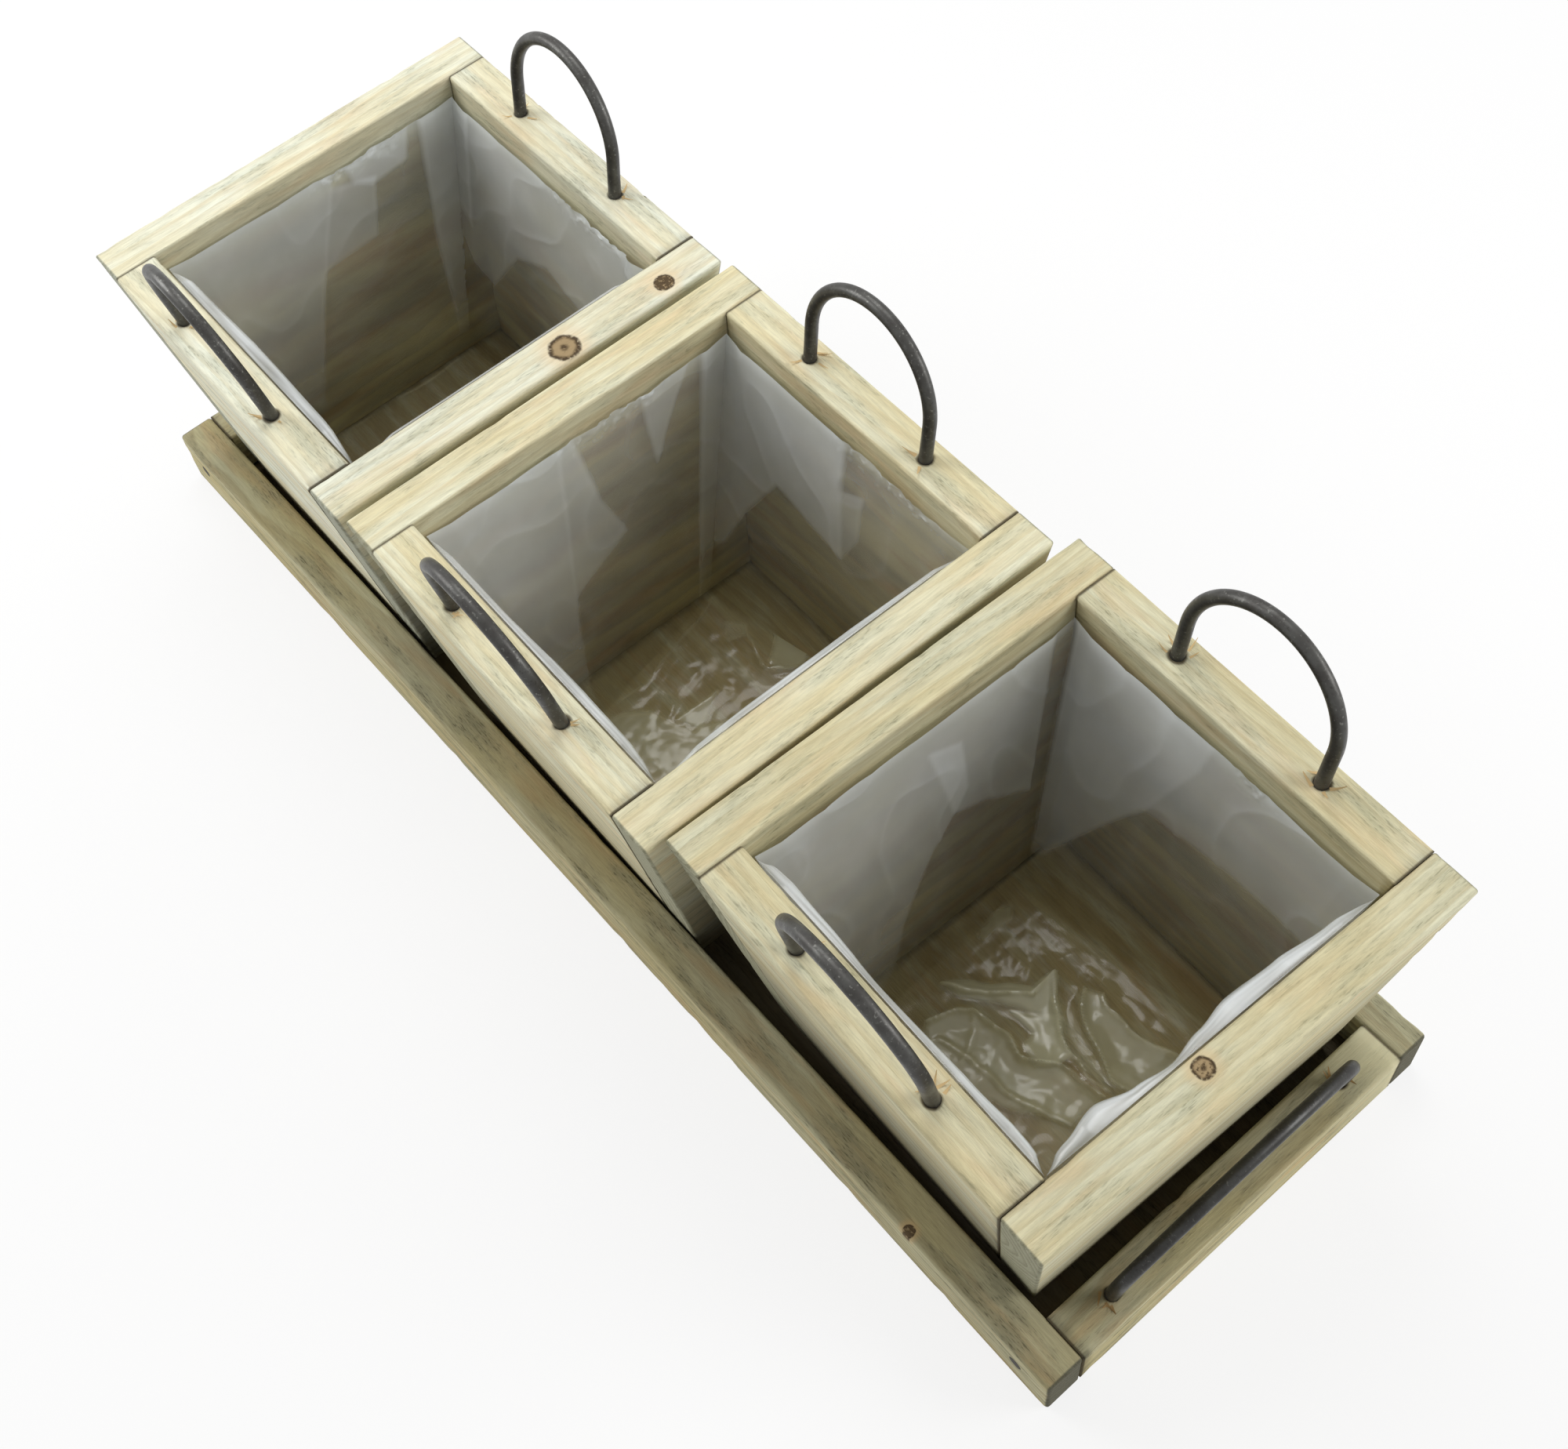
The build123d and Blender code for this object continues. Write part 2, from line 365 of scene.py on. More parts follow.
IRON_DARK = srgb(56, 54, 51)
IRON_PALE = srgb(80, 80, 77)
IRON_BARE = srgb(140, 140, 134)
IRON_PIT = srgb(34, 29, 24)
NAIL = srgb(52, 47, 41)
TRAY_WIRE_TONE = 0.45
WHITE = (1.0, 1.0, 1.0, 1.0)
FILM_TONE = srgb(236, 241, 243)
# Warmer film low in a liner, painted light bounced from the wood, and the heights over which it fades
FILM_BOUNCE_TONE = srgb(222, 219, 182)
FILM_BOUNCE_STRETCH = (14.0, 40.0)
FILM_COVER = (0.03, 0.95)


def iron(name, seed, tone):
    """Dark oxidised wire with small bare specks."""
    paint = Paint(bpy.data.materials.new(name))
    x, y, z = paint.local((0.0, 0.0, 0.0), 0.0)
    mottle = paint.noise(x / 7.0 + seed, y / 7.0, z / 7.0, 3.0, 0.6)
    speck = paint.noise(x / 0.9, y / 0.9 + seed, z / 0.9, 2.0)
    colour = paint.mix(mottle.ramp(0.3, 0.75), IRON_DARK, IRON_PALE)
    colour = paint.mix(speck.ramp(0.6, 0.76) * 0.5, colour, IRON_BARE)
    colour = paint.mix(speck.ramp(0.26, 0.4, 1.0, 0.0) * 0.5, colour, IRON_PIT)
    if tone != 1.0:
        colour = paint.shade(colour, tone)
    paint.bump(speck * 0.5 + mottle, 0.00015, 0.5)
    paint.set(Base_Color=colour, Metallic=0.45, Roughness=mottle.ramp(0.3, 0.7, 0.46, 0.34))
    return paint.owner


def film_paint(name, seed):
    """Thin glossy film, clear where it is single and milkier along its folds and edges, partly as painted
    highlight, and warmer low down with painted light bounced from the wood.
    """
    paint = Paint(bpy.data.materials.new(name))
    x, y, z = paint.local((0.0, 0.0, 0.0), 0.0)
    haze = paint.noise(x / 22.0 + seed, y / 22.0, z / 22.0, 3.0)
    crinkle = paint.noise(x / 6.0, y / 6.0 + seed, z / 6.0, 3.0, 0.6)
    crease_and_highlight = paint.node("ShaderNodeAttribute", {"attribute_name": "crease_and_highlight"}, None, 2)
    veil = paint.node("ShaderNodeAttribute", {"attribute_name": "veil"}, None, 2)
    cover = veil * haze.ramp(0.3, 0.7, 0.92, 1.08) + crease_and_highlight
    cover = cover.math("MINIMUM", FILM_COVER[1]).most(FILM_COVER[0])
    bent = paint.bump(crinkle, 0.0003, 0.25)
    paint.set(Base_Color=paint.mix(z.ramp(*FILM_BOUNCE_STRETCH), FILM_BOUNCE_TONE, FILM_TONE), Roughness=0.25)
    milk = Link(paint, paint.shader.outputs[0])
    passed = paint.node("ShaderNodeBsdfTranslucent", None, {"Color": FILM_TONE})
    clear = paint.node("ShaderNodeBsdfTransparent")
    sheet = paint.mix_shader(cover, clear, paint.mix_shader(0.2, milk, passed))
    shine = paint.node("ShaderNodeBsdfGlossy", None, {"Color": WHITE, "Roughness": 0.19, "Normal": bent})
    slant = paint.node("ShaderNodeLayerWeight", None, {"Blend": 0.5, "Normal": bent}, "Facing")
    paint.show(paint.mix_shader(slant.math("POWER", 4.0) * 0.4 + 0.024, sheet, shine))
    return paint.owner


# Meshes

def finish_mesh(bm, name, material, smooth=True):
    """Object at the origin from a bmesh in metres."""
    mesh = bpy.data.meshes.new(name)
    for face in bm.faces:
        face.smooth = smooth
    bm.to_mesh(mesh)
    bm.free()
    mesh.materials.append(material)
    made = bpy.data.objects.new(name, mesh)
    bpy.context.scene.collection.objects.link(made)
    return made


# Worn boards: size of their cells, mean dent of their faces, depth of chips, angles found at an arris
WEAR_STEP = 4.0
WEAR_DENT = 0.07
CHIP_DEPTH = 0.9
ARRIS_ANGLES = (0.05, 0.7)


def sliced_mesh(node, step):
    """The mesh of a CAD node with its flat faces cut into cells, in metres."""
    bm = bmesh.new()
    bm.from_mesh(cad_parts[node].data)
    bmesh.ops.remove_doubles(bm, verts=bm.verts, dist=1e-6)
    bmesh.ops.dissolve_limit(bm, angle_limit=0.01, verts=bm.verts, edges=bm.edges)
    low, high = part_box(node)
    for axis in range(3):
        normal = Vector([float(axis == other) for other in range(3)])
        count = max(1, round((high[axis] - low[axis]) / step))
        for order in range(1, count):
            spot = Vector(low).lerp(Vector(high), order / count)
            geometry = bm.verts[:] + bm.edges[:] + bm.faces[:]
            bmesh.ops.bisect_plane(bm, geom=geometry, plane_co=spot, plane_no=normal)
    return bm


def worn_board(node, material, body, seed):
    """A board with slightly uneven faces and arrises in place of its CAD node."""
    bm = sliced_mesh(node, WEAR_STEP * MM)
    bm.normal_update()
    moves = []
    for vert in bm.verts:
        spot = vert.co / MM + Vector((seed * 91.0, seed * 53.0, 0.0))
        sway = (noise.noise(spot / 40.0) - 1.0) * WEAR_DENT
        sharp = max((edge.calc_face_angle(0.0) for edge in vert.link_edges), default=0.0)
        is_arris = ARRIS_ANGLES[0] < sharp < ARRIS_ANGLES[1]
        chip = min(0.0, noise.noise(spot / 5.0) + 0.25) * CHIP_DEPTH if is_arris else 0.0
        moves.append(vert.normal * (sway + chip) * MM)
    for vert, move in zip(bm.verts, moves):
        vert.co += move
    made = finish_mesh(bm, f"{node}_worn", material)
    made.modifiers.new("Flat faces", "WEIGHTED_NORMAL").weight = 100
    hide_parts(node)
    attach(made, body)


# Boards

# Tones of a box's wood, how grey it is, and the painted shade at the foot of its boards or of one side's
BOX_TINT = {1: (0.97, 1.04, 1.17), 2: (0.94, 0.97, 0.98), 3: (0.84, 0.865, 0.85)}
BOX_WEATHER = {1: 0.5, 2: 0.45, 3: 0.5}
# Painted shade at the foot of the boards, deepest on the right boards of boxes 1 and 2, which face the gaps
# between boxes
BOX_LOW_SHADE = {1: 0.95, 2: 0.82, 3: 0.42, (1, "right"): 0.3, (2, "right"): 0.32, (3, "right"): 0.72}
BOX_KNOTS = {
    (1, "right"): ((14.9, -1.3, 4.6, 0.3), (51.8, -1.7, 3.0, 1.0)),
    (3, "right"): ((-10.8, 3.3, 2.7, 0.6),),
}
# Painted shade on the base board of box 1; none on the other boxes' bases
BASE_SHADE = {1: 0.6, 2: 1.0, 3: 1.0}
BASE_WEATHER = 0.5
BASE_SEED = 40

# The tray's base is dark: partly dirt, partly painted shade of the deep gaps round the boxes
TRAY_BASE_SHADE = (0.22, 0.2, 0.2)
TRAY_WEATHER = 0.7
TRAY_TOP_TONE = 0.72
TRAY_SEED = 70
# Right end of the tray: painted shade on its inner half, next to the boxes and the handle, and a pale far end
TRAY_RIGHT_END = {"painted_shade_half": 1.0, "bleached": (30.0, 58.0)}
# Knot of the front board: place along, distance from the outer edge, radius, darkness
TRAY_KNOT = (161.0, 1.2, 1.7, 1.0)


def box_place(number):
    x, y, turn = BOXES[number]
    return Matrix.Translation((x, y, BOX_FOOT)) @ Matrix.Rotation(radians(turn), 4, "Z")


def box_boards(number):
    turn = radians(BOXES[number][2])
    place = box_place(number)
    across, along = RIM_HALF_X - BOARD / 2, RIM_HALF_Y - BOARD / 2
    sides = {
        "left": (Vector((-across, 0.0, BOX_HEIGHT)), pi / 2, -1.0),
        "right": (Vector((across, 0.0, BOX_HEIGHT)), pi / 2, 1.0),
        "front": (Vector((0.0, -along, BOX_HEIGHT)), 0.0, 1.0),
        "back": (Vector((0.0, along, BOX_HEIGHT)), 0.0, -1.0),
    }
    tones = tinted(PINE, BOX_TINT[number])
    for order, (side, (middle, grain, inner)) in enumerate(sides.items()):
        seed = number * 5 + order
        pith = (inner * (58.0 + 9.0 * (seed % 3)), -30.0 - 11.0 * (seed % 4))
        marks = {"inner": inner, "lean": -TAPER * inner, "pith": pith}
        if grain:
            marks.update(end_grain=RIM_HALF_Y, knots=BOX_KNOTS.get((number, side), ()))
        else:
            marks.update(joint=RIM_HALF_X - BOARD, holes=(-LEG_OUT, LEG_OUT))
        board = Board(place @ middle, turn + grain, seed, **marks)
        low_shade = BOX_LOW_SHADE.get((number, side), BOX_LOW_SHADE[number])
        material = wood(f"pine_{number}_{side}", board, tones, BOX_WEATHER[number], low_shade=low_shade)
        worn_board(f"box_{number}_{side}_board", material, f"box_{number}", seed)
    board = Board(place @ Vector((0.0, 0.0, BOX_BASE)), turn, number + BASE_SEED)
    tones = tinted(FLOOR_WOOD, (BASE_SHADE[number],) * 3)
    material = wood(f"pine_{number}_base", board, tones, BASE_WEATHER)
    worn_board(f"box_{number}_base", material, f"box_{number}", number)


def tray_boards():
    for order, piece in enumerate(("front_board", "back_board", "left_end", "right_end", "base")):
        node = f"tray_{piece}"
        low, high = (Vector(corner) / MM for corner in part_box(node))
        middle = (low + high) / 2
        middle.z = TRAY_HEIGHT
        marks = {}
        if piece.endswith("end"):
            marks.update(joint=(high.y - low.y) / 2, holes=(-TRAY_LEG_OUT, TRAY_LEG_OUT))
        else:
            marks.update(end_grain=(high.x - low.x) / 2)
        if piece == "right_end":
            marks.update(TRAY_RIGHT_END)
        if piece == "front_board":
            along, inwards, size, dark = TRAY_KNOT
            marks.update(knots=((along, low.y - middle.y + inwards, size, dark),))
        turn = pi / 2 if piece.endswith("end") else 0.0
        board = Board(middle, turn, TRAY_SEED + order * 3, **marks)
        tones = tinted(GREYED, TRAY_BASE_SHADE) if piece == "base" else GREYED
        material = wood(f"tray_{piece}_wood", board, tones, TRAY_WEATHER, TRAY_TOP_TONE)
        worn_board(node, material, "tray", TRAY_SEED + order)


# Splinters round the holes of the handles

SPLINTER_COUNT = (2, 4)
SPLINTER_OUT = (2.3, 3.2)
SPLINTER_TURN = (-1.6, 1.6)
SPLINTER_LENGTH = (2.0, 4.4)
SPLINTER_WIDTH = (0.7, 1.2)
SPLINTER_RISE = (0.5, 1.8)
SPLINTER_SUNK = 0.05


def splinter(bm, spot, turn, length, width, rise):
    made = bmesh.ops.create_grid(bm, x_segments=6, y_segments=1, size=0.5)["verts"]
    for vert in made:
        run = vert.co.x + 0.5
        vert.co = Vector((run * length, vert.co.y * width * (1.0 - 0.8 * run), rise * run * run))
    bmesh.ops.transform(bm, matrix=Matrix.Translation(spot) @ Matrix.Rotation(turn, 4, "Z"), verts=made)


def splinters(name, place, spots, body, colour):
    """Loose slivers of wood at some holes, whose middles are given in a frame in millimetres."""
    bm = bmesh.new()
    pick = Random(name)
    for spot in spots:
        for _ in range(pick.randint(*SPLINTER_COUNT)):
            out = pick.uniform(0.0, 2.0 * pi)
            edge = Vector((cos(out), sin(out), 0.0)) * pick.uniform(*SPLINTER_OUT)
            start = Vector(spot) + edge - Vector((0.0, 0.0, SPLINTER_SUNK))
            turn = out + pick.uniform(*SPLINTER_TURN)
            sizes = [pick.uniform(*limits) for limits in (SPLINTER_LENGTH, SPLINTER_WIDTH, SPLINTER_RISE)]
            splinter(bm, start, turn, *sizes)
    bmesh.ops.transform(bm, matrix=Matrix.Scale(MM, 4) @ place, verts=bm.verts)
    paint = Paint(bpy.data.materials.new(name))
    paint.set(Base_Color=colour, Roughness=0.9)
    made = finish_mesh(bm, name, paint.owner)
    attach(made, body)


def all_splinters():
    for number in BOXES:
        rows = (BOARD / 2 - RIM_HALF_Y, RIM_HALF_Y - BOARD / 2)
        spots = [(x, y, BOX_HEIGHT) for x in (-LEG_OUT, LEG_OUT) for y in rows]
        body = f"box_{number}"
        splinters(f"box_{number}_splinters", box_place(number), spots, body, SPLINTER_PALE)
    for side in ("left", "right"):
        low, high = (Vector(corner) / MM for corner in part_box(f"tray_{side}_end"))
        middle = (low + high) / 2
        spots = [(middle.x, middle.y + y, TRAY_HEIGHT) for y in (-TRAY_LEG_OUT, TRAY_LEG_OUT)]
        splinters(f"tray_{side}_splinters", Matrix(), spots, "tray", SPLINTER_GREYED)


# Film liners. A liner is four walls between its top edge and its floor, milkier where folded film
# lies double. Corners run from front left, against the clock seen from above.

# Depth of the top edge and of the floor below the rim, distance from the boards
FILM_TOP = 6.0
FILM_FLOOR = 97.5
FILM_OFF = 1.0

CORNERS = ((-1, -1), (1, -1), (1, 1), (-1, 1))
WALLS = {"front": (0, 1), "right": (1, 2), "back": (2, 3), "left": (3, 0)}
FLOORS = {
    1: ((-41.0, -41.0), (41.0, -41.0), (40.0, 37.0), (-41.0, 29.0)),
    2: ((-25.0, -41.0), (40.0, -41.0), (40.0, 41.0), (-40.0, 24.0)),
    3: ((-32.0, -41.0), (40.0, -41.0), (39.0, 34.0), (-36.0, 21.5)),
}

# Cells along each side of a wall and of a floor. Rows of a wall lie closer near its top edge.
WALL_STEPS = 124
FLOOR_STEPS = 110
ROW_POWER = 1.5
WELD = 0.02
SHARP_FOLD = 0.6

# Roll of the top edge away from a near board: share along the wall, distance
ROLLS = {
    (1, "front"): ((0.0, 0.8), (0.15, 2.2), (0.5, 3.0), (0.8, 2.4), (1.0, 0.8)),
    (1, "right"): ((0.0, 0.6), (0.4, 0.4), (1.0, 0.6)),
    (2, "front"): ((0.0, 0.8), (0.35, 0.9), (0.65, 1.9), (0.85, 1.7), (1.0, 0.8)),
    (2, "right"): ((0.0, 0.5), (0.3, 1.6), (0.55, 1.5), (1.0, 0.6)),
    (3, "front"): ((0.0, 0.8), (0.06, 2.2), (0.25, 1.6), (0.45, 0.6), (0.75, 1.3), (0.94, 2.2), (1.0, 1.6)),
    (3, "right"): (
        (0.0, 1.6), (0.08, 2.8), (0.17, 4.6), (0.27, 1.8), (0.36, 0.4), (0.46, 2.4), (0.56, 4.2), (0.7, 3.4),
        (0.84, 1.8), (1.0, 0.6),
    ),
}
# A roll's share of the wall's depth, its own drop, its rise above the plain edge, its reach over the
# board, the share over which it fades and the share that is white, with a painted highlight
ROLL_SHARE = 0.06
ROLL_DROP = 2.5
ROLL_RISE = 5.0
ROLL_REACH = 1.2
ROLL_FADE = 0.35
ROLL_WHITE = 0.2

# Crinkled stretches of the top edge: their start and end along the wall
HEMS = {
    (1, "left"): (0.15, 0.55),
    (1, "back"): (0.08, 0.5),
    (2, "left"): (0.2, 0.6),
    (2, "back"): (0.08, 0.55),
    (3, "back"): (0.28, 0.47),
}
NO_HEM = (2.0, 2.0)
HEM_SHARE = 0.045
SPECK_SHARE = 0.07
# A lifted white curl of the top edge, its white partly painted highlight: its middle and half its width along
# the wall
CURLS = {(1, "back"): (0.06, 0.045)}
NO_CURL = (2.0, 0.1)
CURL_SHARE = 0.12
CURL_OUT = 2.4
CURL_RISE = 2.0

# Milky areas: layers, then their outline. A wall's is in shares of its length and depth, past
# 0 and 1 where it runs over an edge; a floor's is in millimetres from the middle of the box.
DOUBLES = {
    (1, "left"): (
        (1.0, (1.1, -0.1), (0.43, -0.1), (0.46, 0.06), (0.57, 0.33), (0.73, 0.7), (0.82, 0.86), (1.1, 0.95)),
        (0.8, (0.46, 0.06), (0.31, 0.11), (0.35, 0.32), (0.57, 0.33)),
        (1.2, (0.42, -0.1), (0.16, -0.1), (0.19, 0.11), (0.32, 0.13), (0.38, 0.09)),
        (1.5, (-0.1, -0.1), (0.13, -0.1), (0.115, 0.5), (0.06, 0.92), (-0.1, 0.92)),
    ),
    (1, "back"): (
        (1.0, (1.1, -0.1), (-0.1, -0.1), (-0.1, 0.3), (0.3, 0.42), (0.5, 0.36), (0.66, 0.42), (0.8, 0.62),
         (0.92, 0.6), (1.1, 0.42)),
        (0.5, (1.1, -0.1), (0.91, -0.1), (0.92, 0.44), (1.1, 0.36)),
    ),
    (2, "left"): (
        (0.95, (1.1, -0.1), (0.56, -0.1), (0.63, 0.27), (0.7, 0.53), (0.8, 0.82), (0.86, 1.1), (1.1, 1.1)),
        (0.8, (0.56, -0.1), (0.53, 0.04), (0.5, 0.27), (0.43, 0.44), (0.7, 0.53), (0.63, 0.27)),
        (1.35, (-0.1, -0.1), (0.09, -0.1), (0.095, 0.96), (-0.1, 0.96)),
        (0.8, (0.1, -0.1), (0.31, -0.1), (0.29, 0.12), (0.27, 0.28)),
    ),
    (2, "back"): (
        (1.25, (1.1, -0.1), (0.5, -0.1), (0.47, 0.2), (0.43, 0.46), (0.58, 0.42), (0.73, 0.37), (0.86, 0.58),
         (0.94, 0.75), (1.1, 0.85)),
        (0.6, (0.47, 0.2), (0.39, 0.16), (0.38, 0.34), (0.43, 0.46)),
    ),
    (3, "left"): (
        (1.0, (1.1, -0.1), (0.07, -0.1), (0.07, 0.3), (0.07, 0.56), (0.27, 0.45), (0.41, 0.4), (0.5, 0.48),
         (0.58, 0.58), (0.68, 0.7), (0.76, 0.84), (0.86, 0.9), (1.1, 0.92)),
        (0.55, (0.48, 0.1), (0.38, 0.14), (0.36, 0.33), (0.41, 0.4)),
    ),
    (3, "back"): (
        (1.3, (0.985, -0.1), (0.5, -0.1), (0.53, 0.12), (0.63, 0.38), (0.79, 0.62), (0.93, 0.82),
         (0.985, 0.84)),
        (0.85, (0.5, -0.1), (-0.1, -0.1), (-0.1, 0.42), (0.1, 0.36), (0.35, 0.35), (0.63, 0.38),
         (0.53, 0.12)),
    ),
    (2, "floor"): (
        (1.2, (-19, 35), (-14, 30), (-4, 21), (-1, 21), (1, 26), (0, 35), (-14, 35)),
        (0.7, (-28, 21), (-23, 25), (-19, 22), (-22, 17)),
        (0.9, (-8, 2), (-8, -2), (-9, -14), (-4, -11), (-2, -10), (-5, -4)),
        (0.9, (-24, -40), (-22, -25), (-18, -19), (-10, -16), (-3, -12), (2, -2), (22, -8), (24, -40)),
    ),
    (3, "floor"): (
        (1.5, (-27, -17), (-22, -10), (-14, -2), (-9, 3), (-8, 10), (-3, 5), (3, 2), (0, 0), (-7, -4),
         (-14, -9), (-21, -15)),
        (1.7, (-8, -7), (0, 0), (3, 2), (7, -1), (13, -5), (12, -9), (9, -12), (2, -11), (0, -7)),
        (1.0, (-22, -28), (-18, -18), (-15, -15), (-10, -14), (-3, -13), (4, -14), (12, -9), (18, -9),
         (28, -5), (28, -18), (21, -21), (15, -26), (-5, -36), (-15, -36)),
        (1.1, (0, 13), (5, 16), (9, 14), (18, 14), (25, 16), (32, 19), (36, 11), (33, 1), (25, 0), (18, 2),
         (11, 5), (5, 8)),
        (0.9, (-32, 1), (-34, 4), (-36, 12), (-33, 16), (-30, 13), (-31, 6), (-30, 2)),
    ),
}

# Raised folds of the floors: height, then their line in millimetres
FOLDS = {
    1: (
        (3.0, (-40, -24), (-39.5, 0), (-39, 24)),
        (1.6, (-20, -30), (-8, -4), (-5, 18)),
        (1.6, (10, -20), (24, 4), (30, 24)),
    ),
    2: (
        (2.8, (-26, -24), (-27, -13), (-30, 0), (-33, 6), (-34, 12), (-37, 22)),
        (2.6, (-18, 22), (-13, 21), (-6, 19), (-3, 19), (0, 23), (1, 26)),
        (1.8, (-19, 35), (-14, 30), (-4, 21)),
        (1.5, (-8, 2), (-8, -2), (-9, -11), (-9, -14)),
        (1.4, (-14, -11), (-12, -15)),
        (2.0, (12, -30), (16, -8), (28, 10)),
    ),
    3: (
        (2.4, (-32, -28), (-33, -15), (-34, -1), (-34, 4)),
        (2.2, (-27, 21), (-20, 22), (-10, 24), (4, 26), (28, 31)),
        (3.0, (-27, -17), (-21, -13), (-14, -6), (-8, 1), (-8, 10)),
        (3.2, (-22, -28), (-18, -18), (-15, -15), (-10, -14), (-3, -13), (4, -14), (12, -9), (28, -5)),
        (3.2, (-8, 10), (-2, 4), (4, 0), (12, -4), (21, -5), (27, -3)),
        (3.4, (0, 13), (5, 8), (11, 5), (18, 2), (25, 0), (31, 1)),
        (2.8, (5, 16), (9, 14), (18, 14), (25, 16), (32, 19)),
        (1.8, (-15, -29), (-5, -26), (8, -25), (21, -21), (28, -18)),
        (1.2, (-15, -15), (-11, -19), (-6, -28)),
    ),
}
FOLD_REACH = 9.0
FOLD_HALF = 5.0
FLOOR_RISE = 7.0

# Length and depth of a wall as its milky areas take them, half the width of their blurred edge and of
# the white line along it, partly painted highlight, and the cover of single film and of each layer more
WALL_SIZE = (110.0, 93.0)
MILKY_BLUR = 2.0
LINE_HALF = 0.9
SINGLE = 0.19
LAYER = 0.21


def line_distance(x, y, points, reach):
    """Distance of a spot from a broken line, looked for as far as a reach."""
    nearest = reach
    for (start_x, start_y), (end_x, end_y) in zip(points, points[1:]):
        if (x < start_x - nearest and x < end_x - nearest) or (x > start_x + nearest and x > end_x + nearest):
            continue
        run_x, run_y = end_x - start_x, end_y - start_y
        share = ((x - start_x) * run_x + (y - start_y) * run_y) / (run_x * run_x + run_y * run_y)
        share = max(0.0, min(1.0, share))
        nearest = min(nearest, hypot(x - start_x - run_x * share, y - start_y - run_y * share))
    return nearest


def is_inside(x, y, points):
    odd = False
    for (start_x, start_y), (end_x, end_y) in zip(points, points[1:]):
        if (start_y > y) == (end_y > y):
            continue
        if x < start_x + (y - start_y) * (end_x - start_x) / (end_y - start_y):
            odd = not odd
    return odd


def outlines(number, side):
    """Closed outlines of the milky areas of a side in millimetres, with their layers."""
    across, down = (1.0, 1.0) if side == "floor" else WALL_SIZE
    areas = DOUBLES.get((number, side), ())
    return [(layers, [(x * across, y * down) for x, y in (*points, points[0])]) for layers, *points in areas]


def milky(areas, x, y):
    """Layers of folded film at a spot, and how near it is to the edge of one."""
    layers, line = 0.0, 0.0
    for share, points in areas:
        near = line_distance(x, y, points, MILKY_BLUR)
        inside = 0.5 + (near if is_inside(x, y, points) else -near) / MILKY_BLUR
        layers += share * max(0.0, min(1.0, inside))
        line = max(line, exp(-((near / LINE_HALF) ** 2)))
    return layers, line


def smooth_profile(profile, s):
    for (start, low), (end, high) in zip(profile, profile[1:]):
        if s <= end:
            share = (s - start) / (end - start)
            return low + (high - low) * share * share * (3.0 - 2.0 * share)
    return profile[-1][1]


